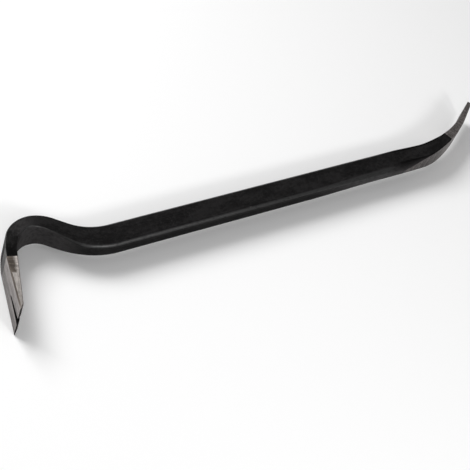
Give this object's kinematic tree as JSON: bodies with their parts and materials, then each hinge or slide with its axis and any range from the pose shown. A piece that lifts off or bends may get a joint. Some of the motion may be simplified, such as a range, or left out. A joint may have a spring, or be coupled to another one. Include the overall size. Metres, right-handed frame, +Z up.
{
  "type": "pry bar",
  "caption": "Forged steel pry bar with a flared, nail-slotted claw on a cranked neck and a curved chisel at the other end.",
  "frame": {"origin": "middle of the bounding box in X and Y, at its lowest point in Z, with the bar lying on its side", "axes": "+X along the straight shank from the claw to the chisel; +Y the side that the crown and the chisel tip rise to; +Z up, across the width of the bar and square to the plane that it is bent in"},
  "size_m": [0.6002, 0.1048, 0.039],
  "materials": {
    "black_coating": "semi-matt baked black lacquer over forged steel",
    "ground_steel": "bare steel, coarse ground across the blade"
  },
  "bodies": {
    "root": {"forged_bar": "black_coating"}
  },
  "joints": []
}
